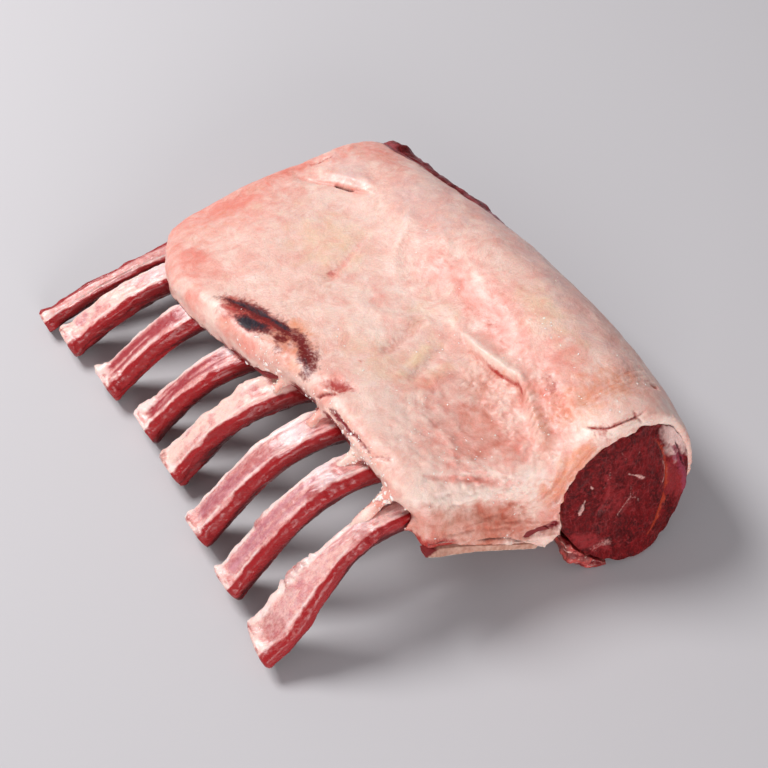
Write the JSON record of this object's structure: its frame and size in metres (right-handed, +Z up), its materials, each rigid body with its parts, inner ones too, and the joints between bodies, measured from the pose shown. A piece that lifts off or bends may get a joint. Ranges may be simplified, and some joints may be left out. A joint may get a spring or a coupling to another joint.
{
  "type": "rack of lamb",
  "caption": "French-trimmed raw rack of lamb with its fat cap on, an arch of bare rib bones running out from under the fat and a cut loin face at one end.",
  "frame": {"origin": "middle of the box round the whole rack, on the surface that it lies on", "axes": "+X along the rack towards the cut loin face, +Y from the rib tips to the loin, +Z up through the fat cap"},
  "size_m": [0.218, 0.1844, 0.0623],
  "materials": {
    "fat": "raw lamb fat, cream and pale pink, softly moist",
    "lean": "raw lean meat, dark red, moist",
    "rib_lean": "raw lean meat between the ribs, red, moist",
    "trimmings": "loose edges of meat and fat, pink, moist",
    "rib_bone": "scraped bone with a pink membrane, moist",
    "sawn_bone": "sawn bone, beige, porous"
  },
  "bodies": {
    "root": {"fat_cap": "fat", "loin_eye": "lean", "rib_meat": "rib_lean", "chine_trim": "trimmings", "end_bone_sliver": "sawn_bone", "rib_1": "rib_bone", "rib_2": "rib_bone", "rib_3": "rib_bone", "rib_4": "rib_bone", "rib_5": "rib_bone", "rib_6": "rib_bone", "rib_7": "rib_bone", "rib_8": "rib_bone"}
  },
  "joints": []
}
